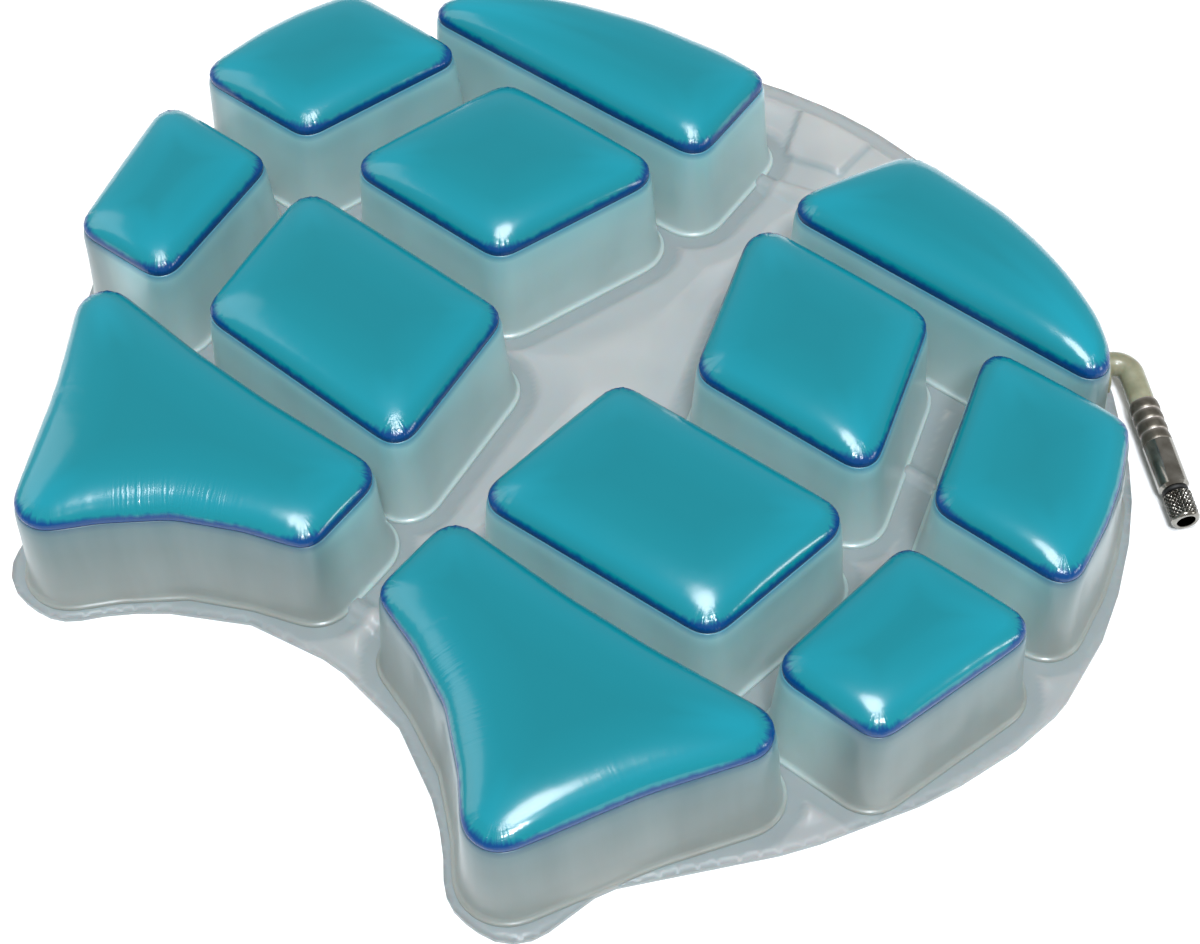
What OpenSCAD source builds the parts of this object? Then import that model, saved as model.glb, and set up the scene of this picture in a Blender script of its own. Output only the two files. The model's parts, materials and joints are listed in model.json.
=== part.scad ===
// Pressure relief cushion: twelve air cells stand on a flat base, each cell carries a
// crowned gel pad, and a valve on the right is screwed open to inflate or empty them.
// The origin is the centre of the underside. +Y points to the rounded end and -Y to the
// notched end.

/* [Cells] */
// Height of the cells' rims above the surface that the cushion lies on
rim_height = 38.8; // [25:0.1:50]
// How far a cell's wall stands out past its gel pad at the rim
rim_lip = 0.9; // [0.3:0.1:1.5]
// How far a cell's wall stands out past its gel pad at the foot
wall_spread = 3.4; // [2:0.1:4]
// Thickness of the formed cell wall
cell_wall = 1.2; // [0.8:0.1:1.6]
// Height of the rounded edge at the top of a cell
rim_round = 1.2; // [0.6:0.1:2]

/* [Gel pads] */
// Height of a large gel pad's crown above the rim
large_crown = 10; // [5:0.1:14]
// Height of a small gel pad's crown above the rim
small_crown = 8.6; // [4:0.1:12]
// Thickness of the clear skin over the gel
skin = 0.6; // [0.4:0.1:1]
// Gap left between the gel and its skin
skin_gap = 0.1; // [0.05:0.05:0.2]

/* [Sheets] */
// Thickness of the bottom sheet
bottom_sheet_t = 1.2; // [0.8:0.1:2]
// Thickness of the flange sheet that joins the cells
flange_sheet_t = 1.2; // [0.8:0.1:2]
// Gap between a cell's foot and the flange sheet's opening
foot_gap = 0.1; // [0.05:0.05:0.3]
// Height of the raised patch at the rounded end
patch_h = 0.8; // [0.4:0.1:1.5]

/* [Air ducts] */
// Outer radius of an air duct
duct_r = 2.6; // [2:0.1:3.5]
// Inner radius of an air duct
duct_bore_r = 1.7; // [1:0.1:1.9]

/* [Inlet tube] */
// Outer radius of the moulded elbow
tube_r = 4.1; // [3:0.1:4.3]
// Bore radius of the moulded elbow
tube_bore_r = 2.5; // [1.5:0.1:3]
// Bend radius of the elbow's centre line
elbow_r = 5.6; // [5:0.1:6]
// Length from the elbow's corner back into the wing cell
inlet_leg = 20; // [18.5:0.5:22]
// Width of the arched gland that seals the tube
gland_w = 15; // [12:1:15]
// Length of the gland along the tube
gland_l = 5.2; // [4:0.2:5.2]

/* [Valve] */
// Direction of the valve in plan, from +X
valve_angle = -42; // [-46:1:-38]
// How far the valve droops towards its open end
valve_droop = 2.1; // [0:0.1:2.2]
// Radius of the valve's barrel
barrel_r = 4.9; // [4.6:0.1:5]
// Length of the crimped ferrule
ferrule_l = 16; // [12:0.5:16]
// Length of the smooth barrel
barrel_l = 17; // [16:0.5:20]
// Radius of the knurled collar
collar_r = 4.6; // [4:0.1:4.6]
// Length of the knurled collar
collar_l = 10; // [9.5:0.1:10.5]
// Radius of the inflation port
port_r = 2.9; // [2:0.1:3.2]
// Depth of the inflation port
port_depth = 4.8; // [3:0.1:5]
// Radius of the barrel's bore, where the collar's neck turns
neck_bore_r = 2.6; // [2.4:0.1:2.8]
// Radius of the valve's stem
stem_r = 0.8; // [0.6:0.1:0.9]
// Radial clearance between parts that turn or slide
running_gap = 0.05; // [0.02:0.01:0.08]

/* [Hidden] */
// Each outline is anticlockwise, on the right-hand side: [x, y, corner radius].
WING_RIGHT = [[19.5, 82.6, 7], [144, 82.4, 6], [131, 100.8, 22], [103, 116.5, 80],
    [66, 126.2, 100], [41.5, 126, 7]];
WING_LEFT = [[13.2, 84.7, 7], [48, 83.4, 90], [132.5, 82.2, 6], [120, 98.6, 22],
    [89.5, 115.5, 80], [47, 126.9, 100], [15.1, 126.9, 6]];
UPPER_INNER = [[38.5, 12, 8], [103.5, 12.6, 7], [84.5, 73.3, 8], [17.5, 73.3, 8]];
UPPER_OUTER = [[123, 14.5, 7], [171.5, 14, 7], [166, 48, 60], [154.5, 74.9, 8], [104.5, 74.7, 6]];
LOWER_INNER = [[14.5, -64, 7], [98.5, -61, 8], [107.8, -2.2, 8], [22, -4.2, 7]];
LOWER_OUTER = [[117.3, -59, 7], [154.8, -59.8, 7], [171, -1.5, 7], [124.5, -1.2, 6]];
LOBE = [[13, -73, 8], [12.3, -106.7, 7], [54, -120.6, 84], [88.5, -158.5, 11],
    [113.5, -110.5, 80], [141, -69, 9], [73, -74.8, 250]];
BASE_EDGE = [[31, -117.2, 80], [64.5, -142.5, 45], [77.4, -157.4, 17], [102.4, -157.4, 16],
    [110, -126, 14], [147, -82.5, 70], [169.5, -44, 70], [181, -10, 60], [182.3, 17, 80],
    [172, 55, 90], [157, 84, 60], [132, 112.5, 30], [106, 131, 80], [70, 146, 110],
    [34, 156.8, 60], [9, 160, 60]];
PATCH = [[-16.4, 149.8], [-10.2, 130.7], [12.5, 131.4], [13.3, 151]];

// A cell's name, left outline, right outline and crown.
CELLS = [
    ["wing", WING_LEFT, WING_RIGHT, large_crown],
    ["upper_inner", UPPER_INNER, UPPER_INNER, large_crown],
    ["upper_outer", UPPER_OUTER, UPPER_OUTER, small_crown],
    ["lower_inner", LOWER_INNER, LOWER_INNER, large_crown],
    ["lower_outer", LOWER_OUTER, LOWER_OUTER, small_crown],
    ["lobe", LOBE, LOBE, large_crown],
];
SIDES = ["left", "right"];
NAME = 0;
CROWN = 3;

// Each duct is [x, y] at one end, then [x, y] at the other, from one cell into the next.
SIDE_DUCTS = [
    [[58, 70], [58, 86]],
    [[64, -6], [64, 16]],
    [[62, -76], [62, -58]],
    [[84, 45], [116, 45]],
    [[100, -30], [124, -30]],
];
MIDDLE_DUCTS = [
    [[-20, 117], [42, 117]],
    [[-18, -98], [18, -98]],
];

flange_top = bottom_sheet_t + flange_sheet_t;
turn_per_point = 19;
crown_steps = [1, 0.985, 0.93, 0.8, 0.55, 0.25];
crown_power = 3.2;
// Parts that only touch in a cut are made this much longer.
cut = 1;

elbow_corner = [132.3, 120.3];
valve_z = flange_top + tube_r + 0.7;
bore_clearance = 0.05;
gland_start = 7.4;
gland_cover = 0.9;
ferrule_x = 17;
ferrule_rings = 4;
ferrule_groove = 0.35;
barrel_x = ferrule_x + ferrule_l;
barrel_end = barrel_x + barrel_l;
barrel_round = 0.9;
tail_start = ferrule_x + 1;
tail_bore_r = 1.2;
seat_x = barrel_x + 3;
seat_l = 1.2;
seal_ring_r = 0.75;
collar_x = barrel_end + 2 * seal_ring_r + 0.3;
collar_end = collar_x + collar_l;
collar_bevel = 0.7;
neck_start = seat_x + 6;
neck_r = neck_bore_r - running_gap;
neck_hollow_r = 1.8;
port_start = collar_end - port_depth;
port_relief_r = port_r + 0.3;
port_relief_l = 0.3;
clip_room_l = 1.8;
clip_room_r = 1.9;
hub_l = 1.8;
hub_x = port_start - clip_room_l - hub_l;
air_hole_r = 0.35;
air_holes = 3;
stem_head_r = neck_bore_r - 0.4;
stem_head_x = seat_x + seat_l + 1.3;
stem_head_l = 1.4;
stem_end = port_start - 0.3;
stem_stop_l = 0.8;
stem_stop_r = 1.35;
stem_play = 0.2;
seal_disc_l = 1.0;

function cell_node(cell, side) = str(cell[NAME], "_cell_", side);
function gel_node(cell, side) = str(cell[NAME], "_gel_", side);
function skin_node(cell, side) = str(cell[NAME], "_skin_", side);

$fn = 64;

// ---- Outlines ----

function unit(v) = v / norm(v);
function cross2(a, b) = a.x * b.y - a.y * b.x;
function mean(points) = [for (k = [0, 1]) [for (p = points) p[k]] * [for (p = points) 1]] / len(points);

// The arc that rounds one corner of an outline, grown outwards by g
function corner_arc(before, corner, after, g) =
    let (
        into = unit([corner.x - before.x, corner.y - before.y]),
        out = unit([after.x - corner.x, after.y - corner.y]),
        turn = atan2(cross2(into, out), into * out),
        way = sign(turn),
        square = unit([into.y, -into.x] + [out.y, -out.x]),
        centre = [corner.x, corner.y] - way * square * corner[2] / cos(turn / 2),
        start = atan2(-into.x, into.y),
        steps = max(1, round(abs(turn) / turn_per_point))
    )
    [for (i = [0:steps])
        let (a = start + turn * i / steps)
        centre + (way * corner[2] + g) * [cos(a), sin(a)]];

// A rounded outline, grown outwards by g
function rounded(outline, g = 0) =
    let (n = len(outline))
    [for (i = [0:n - 1])
        each corner_arc(outline[(i + n - 1) % n], outline[i], outline[(i + 1) % n], g)];

function mirrored(outline) = [for (i = [len(outline) - 1:-1:0])
    [-outline[i].x, outline[i].y, outline[i][2]]];

function at_height(points, z) = [for (p = points) [p.x, p.y, z]];

function scaled_to(points, centre, f) = [for (p = points) centre + f * (p - centre)];

// ---- Solids ----

// Solid through a stack of rings that all have the same number of points
module loft(rings) {
    n = len(rings[0]);
    m = len(rings);
    first = [for (i = [0:n - 1]) i];
    last = [for (i = [n - 1:-1:0]) (m - 1) * n + i];
    sides = [for (j = [0:m - 2], i = [0:n - 1])
        let (k = (i + 1) % n)
        [j * n + i, (j + 1) * n + i, (j + 1) * n + k, j * n + k]];
    polyhedron(points = [for (ring = rings) each ring], faces = concat([first], sides, [last]));
}

// Rings of a crowned pad, from its rim up to the middle
function crown_rings(outline, inset, crown) =
    let (
        rim = rounded(outline, -inset),
        centre = mean(rim)
    )
    [for (f = crown_steps)
        at_height(scaled_to(rim, centre, f),
            rim_height + (crown - inset) * sqrt(1 - pow(f, crown_power)))];

module on_side(side) {
    mirror([side == "left" ? 1 : 0, 0, 0]) children();
}

function outline_of(cell, side) = cell[side == "left" ? 1 : 2];

module rod(r, from, to) {
    translate([from, 0, 0]) rotate([0, 90, 0]) cylinder(r = r, h = to - from);
}

module cone(r1, r2, from, to) {
    translate([from, 0, 0]) rotate([0, 90, 0]) cylinder(r1 = r1, r2 = r2, h = to - from);
}

// ---- Sheets and ducts ----

module base_outline() {
    polygon(rounded(concat(BASE_EDGE, mirrored(BASE_EDGE))));
}

// Every air duct as a rod of radius r that lies on the flange
module duct_rods(r) {
    for (duct = concat(SIDE_DUCTS, [for (d = SIDE_DUCTS) [for (p = d) [-p.x, p.y]]], MIDDLE_DUCTS)) {
        along = duct[1] - duct[0];
        translate([duct[0].x, duct[0].y, flange_top])
            rotate([0, 0, atan2(along.y, along.x)])
                rod(r, 0, norm(along));
    }
}

module cell_openings() {
    for (cell = CELLS, side = SIDES)
        on_side(side)
            translate([0, 0, bottom_sheet_t - cut])
                linear_extrude(flange_sheet_t + duct_r + 2 * cut)
                    polygon(rounded(outline_of(cell, side), wall_spread + foot_gap));
}

module bottom_sheet() {
    color("#c4c4c6") linear_extrude(bottom_sheet_t) base_outline();
}

module flange_sheet() {
    color("#c9cbcc") difference() {
        union() {
            translate([0, 0, bottom_sheet_t]) linear_extrude(flange_sheet_t) base_outline();
            translate([0, 0, flange_top]) linear_extrude(patch_h) polygon(PATCH);
            intersection() {
                duct_rods(duct_r);
                translate([0, 0, bottom_sheet_t]) linear_extrude(duct_r + cut + flange_sheet_t) base_outline();
            }
        }
        cell_openings();
        duct_rods(duct_bore_r);
    }
}

// ---- Cells and gel pads ----

// A formed cell: drafted wall and closed top, open at the foot
module cell_shell(outline) {
    loft([
        at_height(rounded(outline, rim_lip - cell_wall), rim_height - cell_wall),
        at_height(rounded(outline, wall_spread - cell_wall), bottom_sheet_t),
        at_height(rounded(outline, wall_spread), bottom_sheet_t),
        at_height(rounded(outline, rim_lip), rim_height - rim_round),
        at_height(rounded(outline, 0), rim_height),
    ]);
}

module air_cell(cell, side) {
    color("#b7bdb9") difference() {
        on_side(side) cell_shell(outline_of(cell, side));
        duct_rods(duct_bore_r);
        if (cell[NAME] == "wing" && side == "right")
            at_valve() inlet_way(tube_r + bore_clearance);
    }
}

module gel(cell, side) {
    outline = outline_of(cell, side);
    inset = skin + skin_gap;
    floor_ring = at_height(rounded(outline, -inset), rim_height);
    color("#1fa0b5") on_side(side)
        loft(concat([floor_ring], crown_rings(outline, inset, cell[CROWN])));
}

module pad_skin(cell, side) {
    outline = outline_of(cell, side);
    inner = crown_rings(outline, skin, cell[CROWN]);
    outer = crown_rings(outline, 0, cell[CROWN]);
    steps = len(inner);
    color("#2fb4ce", 0.5) on_side(side)
        loft(concat([for (i = [steps - 1:-1:0]) inner[i]], outer));
}

// ---- Inlet and valve, made along +X from the elbow's corner ----

module at_valve() {
    translate([elbow_corner.x, elbow_corner.y, valve_z])
        rotate([0, 0, valve_angle])
            children();
}

module drooped() {
    rotate([0, valve_droop, 0]) children();
}

// The straight leg, from the wing cell out to the elbow's bend
module inlet_way(r) {
    translate([0, -elbow_r, 0]) rotate([90, 0, 0]) cylinder(r = r, h = inlet_leg - elbow_r);
}

// Arched block on the flange that seals the tube
module inlet_gland() {
    height = valve_z - flange_top + tube_r + gland_cover;
    curve_r = (gland_w * gland_w / 4 + height * height) / (2 * height);
    color("#b4b79a") at_valve() difference() {
        translate([0, -gland_start, 0]) rotate([90, 0, 0]) linear_extrude(gland_l) intersection() {
            translate([0, height + flange_top - valve_z - curve_r]) circle(r = curve_r);
            translate([-gland_w / 2, flange_top - valve_z]) square([gland_w, height]);
        }
        inlet_way(tube_r + bore_clearance);
    }
}

module elbow_shape(r) {
    inlet_way(r);
    translate([elbow_r, -elbow_r, 0]) rotate([0, 0, 90]) rotate_extrude(angle = 90)
        translate([elbow_r, 0]) circle(r = r);
    rod(r, elbow_r, barrel_x - cut);
}

module inlet_elbow() {
    color("#b4b79a") at_valve() drooped() difference() {
        elbow_shape(tube_r);
        elbow_shape(tube_bore_r);
        translate([0, -inlet_leg, 0]) rotate([90, 0, 0]) cylinder(r = tube_bore_r, h = cut, center = true);
        rod(tube_bore_r, barrel_x - 2 * cut, barrel_x);
    }
}

// Ferrule crimped over the elbow's end, with a groove after each ring
module hose_ferrule() {
    pitch = ferrule_l / ferrule_rings;
    groove_w = pitch / 5;
    color("#8c8f90") at_valve() drooped() difference() {
        rod(barrel_r - 0.1, ferrule_x, barrel_x);
        for (i = [1:ferrule_rings - 1])
            translate([ferrule_x + i * pitch, 0, 0]) rotate([0, 90, 0])
                rotate_extrude() translate([barrel_r - 0.1 - ferrule_groove, -groove_w / 2])
                    square([ferrule_groove + cut, groove_w]);
        rod(tube_r + bore_clearance, ferrule_x - cut, barrel_x - cut);
        rod(tube_bore_r, barrel_x - 2 * cut, barrel_x + cut);
    }
}

// Barrel with a tail that holds the elbow's end, and the seat that the stem closes
module valve_barrel() {
    tail_r = tube_bore_r - bore_clearance;
    color("#a5a8aa") at_valve() drooped() difference() {
        union() {
            rod(tail_r, tail_start, barrel_x + cut);
            rod(barrel_r, barrel_x, barrel_end - barrel_round);
            cone(barrel_r, barrel_r - barrel_round, barrel_end - barrel_round, barrel_end);
        }
        rod(tail_bore_r, tail_start - cut, seat_x + cut);
        cone(tail_bore_r, neck_bore_r, seat_x, seat_x + seat_l);
        rod(neck_bore_r, seat_x + seat_l, barrel_end + cut);
    }
}

// Rubber ring on the barrel's end, round the collar's neck
module seal_ring() {
    color("#111111") at_valve() drooped()
        translate([barrel_end + seal_ring_r, 0, 0]) rotate([0, 90, 0])
            rotate_extrude() translate([neck_bore_r + seal_ring_r + running_gap, 0]) circle(r = seal_ring_r);
}

// Stem that rises and falls with the collar: its head carries the seal
module valve_stem() {
    color("#9b9ea0") at_valve() drooped() union() {
        rod(stem_head_r, stem_head_x, stem_head_x + stem_head_l);
        rod(stem_r, stem_head_x, stem_end);
        rod(stem_stop_r, hub_x - stem_play - stem_stop_l, hub_x - stem_play);
    }
}

module stem_seal() {
    color("#1c1c1c") at_valve() drooped()
        rod(stem_head_r, stem_head_x - seal_disc_l, stem_head_x);
}

// Clip that holds the stem in the collar's hub
module stem_clip() {
    start = hub_x + hub_l + stem_play;
    color("#777777") at_valve() drooped() difference() {
        rod(stem_stop_r, start, start + stem_stop_l);
        rod(stem_r, start - cut, start + stem_stop_l + cut);
    }
}

// Collar: neck in the barrel, hub round the stem, and the inflation port in its end
module valve_collar() {
    color("#b9bbbb") at_valve() drooped() difference() {
        union() {
            rod(neck_r, neck_start, collar_x + cut);
            cone(collar_r - collar_bevel, collar_r, collar_x, collar_x + collar_bevel);
            rod(collar_r, collar_x + collar_bevel, collar_end - collar_bevel);
            cone(collar_r, collar_r - collar_bevel, collar_end - collar_bevel, collar_end);
        }
        rod(neck_hollow_r, neck_start - cut, hub_x);
        rod(stem_r + running_gap, hub_x - cut, port_start);
        for (i = [0:air_holes - 1])
            rotate([360 * i / air_holes, 0, 0]) translate([0, 0, neck_hollow_r - air_hole_r - 0.1])
                rod(air_hole_r, hub_x - cut, port_start);
        rod(clip_room_r, hub_x + hub_l, port_start + cut);
        rod(port_relief_r, port_start, port_start + port_relief_l);
        rod(port_r, port_start, collar_end + cut);
    }
}

bottom_sheet();
flange_sheet();
for (cell = CELLS, side = SIDES) {
    air_cell(cell, side);
    gel(cell, side);
    pad_skin(cell, side);
}
inlet_gland();
inlet_elbow();
hose_ferrule();
valve_barrel();
seal_ring();
valve_stem();
stem_seal();
stem_clip();
valve_collar();
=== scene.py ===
# %% [markdown]
# # Pressure relief cushion
# Twelve milky air cells stand on a flat film base. Each carries a turquoise gel pad, and a
# small plated valve on the right lets the air in and out. The hard parts already have their
# right shape in the frame, so they only get a finish. The films and the pads are soft, and
# each is made here as its own piece.

# %% The frame
import json
import math
import bpy
import numpy as np
from mathutils import Matrix, Vector
from mathutils.kdtree import KDTree


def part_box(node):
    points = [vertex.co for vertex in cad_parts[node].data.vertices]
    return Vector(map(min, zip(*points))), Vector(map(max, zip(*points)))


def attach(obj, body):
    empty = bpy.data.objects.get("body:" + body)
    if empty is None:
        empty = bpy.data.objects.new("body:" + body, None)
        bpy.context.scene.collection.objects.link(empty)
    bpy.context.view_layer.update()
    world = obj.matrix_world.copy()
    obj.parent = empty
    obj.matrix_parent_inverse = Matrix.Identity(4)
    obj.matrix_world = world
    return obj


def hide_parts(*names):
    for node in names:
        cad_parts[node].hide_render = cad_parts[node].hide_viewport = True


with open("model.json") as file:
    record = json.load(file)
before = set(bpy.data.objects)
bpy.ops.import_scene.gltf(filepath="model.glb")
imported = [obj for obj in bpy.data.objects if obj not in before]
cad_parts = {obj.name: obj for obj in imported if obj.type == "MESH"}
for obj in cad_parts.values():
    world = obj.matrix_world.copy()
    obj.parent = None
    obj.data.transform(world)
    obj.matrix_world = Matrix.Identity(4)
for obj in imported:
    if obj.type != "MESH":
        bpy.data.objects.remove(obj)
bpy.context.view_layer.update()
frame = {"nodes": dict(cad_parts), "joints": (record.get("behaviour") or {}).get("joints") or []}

MM = 0.001
nodes = frame["nodes"]

# %% [markdown]
# ## Camera
# The camera looks down on the cushion from its notched end, a little to the right, with a
# long lens. Its place is worked out from an angle round the cushion, an angle above the
# table and a distance, which is easier to think about than three coordinates.

# %% Camera
CAMERA_AZIMUTH = math.radians(39.58)
CAMERA_ELEVATION = math.radians(54.71)
CAMERA_ROLL = math.radians(2.13)
CAMERA_TARGET = Vector((37.54, -33.40, 38.8)) * MM
CAMERA_DISTANCE = 707.8 * MM
CAMERA_LENS = 71.43


def direction(azimuth, elevation):
    """The way from the cushion to something at an angle round it and an angle above it."""
    return Vector((math.sin(azimuth) * math.cos(elevation),
                   -math.cos(azimuth) * math.cos(elevation),
                   math.sin(elevation)))


back = direction(CAMERA_AZIMUTH, CAMERA_ELEVATION)
level_right = (-back).cross(Vector((0, 0, 1))).normalized()
level_up = back.cross(level_right)
right = level_right * math.cos(CAMERA_ROLL) - level_up * math.sin(CAMERA_ROLL)
up = level_up * math.cos(CAMERA_ROLL) + level_right * math.sin(CAMERA_ROLL)
camera = bpy.data.objects.new("camera", bpy.data.cameras.new("camera"))
camera.data.lens = CAMERA_LENS
camera.data.sensor_width = 36
camera.matrix_world = Matrix.Translation(CAMERA_TARGET + back * CAMERA_DISTANCE) @ \
    Matrix((right, up, back)).transposed().to_4x4()
bpy.context.scene.collection.objects.link(camera)
bpy.context.scene.camera = camera
print("camera at", [round(value, 3) for value in camera.matrix_world.translation])

# %% [markdown]
# ## Tools for finishes
# A finish is a small graph of nodes. One function turns a web colour into the linear light
# that Blender works in, one adds a node with its settings and links, and one starts a
# material from the shader that every finish needs. The short ones after them each add one
# kind of node that several finishes use, and give back its output.

# %% Tools for finishes
def linear(hex_colour):
    """A web colour as linear red, green, blue and alpha."""
    parts = [int(hex_colour[i:i + 2], 16) / 255 for i in (1, 3, 5)]
    return [p / 12.92 if p <= 0.04045 else ((p + 0.055) / 1.055) ** 2.4 for p in parts] + [1.0]


def add_node(material, kind, links=None, values=None, **settings):
    """Adds one node: settings are its own, values go into its sockets, and links feed them."""
    tree = material.node_tree
    node = tree.nodes.new(kind)
    for name, value in settings.items():
        setattr(node, name, value)
    for socket, value in (values or {}).items():
        node.inputs[socket].default_value = value
    for socket, source in (links or {}).items():
        tree.links.new(source, node.inputs[socket])
    return node


def finish_of(name, colour, **values):
    """A new material with the standard shader, and that shader's node."""
    material = bpy.data.materials.new(name)
    material.use_nodes = True
    shader = material.node_tree.nodes["Principled BSDF"]
    shader.inputs["Base Color"].default_value = linear(colour)
    for socket, value in values.items():
        shader.inputs[socket.replace("_", " ")].default_value = value
    return material, shader


def feed(material, source, shader, socket):
    """Links a node's output into the shader."""
    material.node_tree.links.new(source, shader.inputs[socket])


def stored(material, name):
    """The number that a piece keeps at its points under a name."""
    return add_node(material, "ShaderNodeAttribute", attribute_name=name).outputs["Fac"]


def object_place(material):
    return add_node(material, "ShaderNodeTexCoord").outputs["Object"]


def noise(material, where, scale, detail):
    return add_node(material, "ShaderNodeTexNoise", {"Vector": where},
                    {"Scale": scale, "Detail": detail}).outputs["Fac"]


def line_noise(material, place, scale):
    """Noise that changes along one number only."""
    return add_node(material, "ShaderNodeTexNoise", {"W": place},
                    {"Scale": scale, "Detail": 2.0}, noise_dimensions="1D").outputs["Fac"]


def worked_out(material, operation, *terms):
    """Arithmetic on other nodes' outputs and plain numbers."""
    links = {k: term for k, term in enumerate(terms) if isinstance(term, bpy.types.NodeSocket)}
    values = {k: term for k, term in enumerate(terms) if k not in links}
    return add_node(material, "ShaderNodeMath", links, values, operation=operation).outputs[0]


def ranged(material, value, low, high, at_low=0.0, at_high=1.0):
    """The value stretched from one range onto another."""
    ends = {"From Min": low, "From Max": high, "To Min": at_low, "To Max": at_high}
    return add_node(material, "ShaderNodeMapRange", {"Value": value}, ends).outputs[0]


def toned(material, share, stops):
    """A colour ramp, from pairs of place and web colour."""
    ramp = add_node(material, "ShaderNodeValToRGB", {"Fac": share})
    elements = ramp.color_ramp.elements
    while len(elements) < len(stops):
        elements.new(0.5)
    for element, (place, colour) in zip(elements, stops):
        element.position = place
        element.color = linear(colour)
    return ramp.outputs["Color"]


def tinted(material, share, colour, tint):
    """A colour with a share of a web colour mixed in."""
    return add_node(material, "ShaderNodeMix", {0: share, 6: colour}, {7: linear(tint)},
                    data_type="RGBA").outputs[2]


def bumped(material, height, strength, distance):
    return add_node(material, "ShaderNodeBump", {"Height": height},
                    {"Strength": strength, "Distance": distance}).outputs[0]


print("linear turquoise:", [round(value, 3) for value in linear("#1fa0b5")])

# %% [markdown]
# ## Tools for outlines
# Every soft piece follows the outline of its air cell, so the outline is read from the cell
# in the frame: the ring of its corners at the rim. It is laid out again with evenly spaced
# points and can then be grown outwards, by the same width all round or a different one at
# each point.

# %% Tools for outlines
CELLS = ("wing", "upper_inner", "upper_outer", "lower_inner", "lower_outer", "lobe")
SIDES = ("left", "right")
OUTLINE_SPACING = 1.3 * MM
BASE_SPACING = 1 * MM
OUTLINE_SMOOTHING = 2
CLOSE = 1e-6


def spaced(loop, count):
    """The closed loop again, as a number of evenly spaced points."""
    closed = np.vstack([loop, loop[:1]])
    lengths = np.concatenate([[0], np.cumsum(np.linalg.norm(np.diff(closed, axis=0), axis=1))])
    places = np.linspace(0, lengths[-1], count, endpoint=False)
    return np.stack([np.interp(places, lengths, closed[:, k]) for k in (0, 1)], axis=1)


def loop_length(loop):
    return np.linalg.norm(np.roll(loop, -1, axis=0) - loop, axis=1).sum()


def top_corners(name):
    """The corners of a node's top face, each once."""
    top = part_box(name)[1].z
    ring = np.array([vertex.co[:2] for vertex in nodes[name].data.vertices
                     if abs(vertex.co.z - top) < CLOSE])
    return np.unique(ring.round(6), axis=0)


def anticlockwise(ring, middle):
    return ring[np.argsort(np.arctan2(ring[:, 1] - middle[1], ring[:, 0] - middle[0]))]


def rim_outline(name):
    """A cell's outline at its rim, anticlockwise, as evenly spaced points."""
    ring = top_corners(name)
    ring = anticlockwise(ring, (ring.min(0) + ring.max(0)) / 2)
    loop = spaced(ring, int(loop_length(ring) / OUTLINE_SPACING))
    for _ in range(OUTLINE_SMOOTHING):
        loop = loop / 2 + (np.roll(loop, 1, axis=0) + np.roll(loop, -1, axis=0)) / 4
    return loop


def outward(loop):
    """The direction square to an anticlockwise loop at each point, outwards."""
    along = np.roll(loop, -1, axis=0) - np.roll(loop, 1, axis=0)
    along /= np.linalg.norm(along, axis=1)[:, None]
    return np.stack([along[:, 1], -along[:, 0]], axis=1)


def grown(loop, by):
    return loop + outward(loop) * np.reshape(by, (-1, 1))


base_ring = anticlockwise(top_corners("bottom_sheet"), (0, 0))
base_loop = spaced(base_ring, int(loop_length(base_ring) / BASE_SPACING))
outlines = {(cell, side): rim_outline(f"{cell}_cell_{side}") for cell in CELLS for side in SIDES}
rim_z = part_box("wing_cell_left")[1].z
print("rim at", round(rim_z / MM, 2), "mm; outline points:",
      {key: len(loop) for key, loop in outlines.items()})

# %% [markdown]
# ## Tools for pieces
# A piece is drawn as a person would at the keyboard: a circle or grid is added, its loop is
# extruded, and the new points are laid where they belong. Every operator acts on all that is
# selected, so everything is deselected first.

# %% Tools for pieces
def deselect_all():
    if bpy.context.object and bpy.context.object.mode != "OBJECT":
        bpy.ops.object.mode_set(mode="OBJECT")
    bpy.ops.object.select_all(action="DESELECT")


def pick(piece):
    """Makes a piece the only selected and the active one."""
    deselect_all()
    piece.select_set(True)
    bpy.context.view_layer.objects.active = piece


def points_of(piece):
    flat = np.empty(len(piece.data.vertices) * 3)
    piece.data.vertices.foreach_get("co", flat)
    return flat.reshape(-1, 3)


def lay(piece, points):
    piece.data.vertices.foreach_set("co", np.asarray(points, float).ravel())
    piece.data.update()


def edit(piece, *steps):
    """Runs edit mode operators on a piece."""
    pick(piece)
    bpy.ops.object.mode_set(mode="EDIT")
    for step in steps:
        step()
    bpy.ops.object.mode_set(mode="OBJECT")


def open_edges():
    """Selects the points on a mesh's open borders."""
    bpy.ops.mesh.select_mode(type="VERT")
    bpy.ops.mesh.select_all(action="DESELECT")
    bpy.ops.mesh.select_non_manifold(extend=False)


def select_all_points():
    bpy.ops.mesh.select_all(action="SELECT")


def face_outwards():
    select_all_points()
    bpy.ops.mesh.normals_make_consistent(inside=False)


def chosen_points(piece):
    """Which points of a piece are selected."""
    chosen = np.empty(len(piece.data.vertices), bool)
    piece.data.vertices.foreach_get("select", chosen)
    return chosen


def at_ring(loop, z):
    """The loop's points at a height, which may differ from point to point."""
    return np.column_stack([loop, np.broadcast_to(z, len(loop))])


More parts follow.
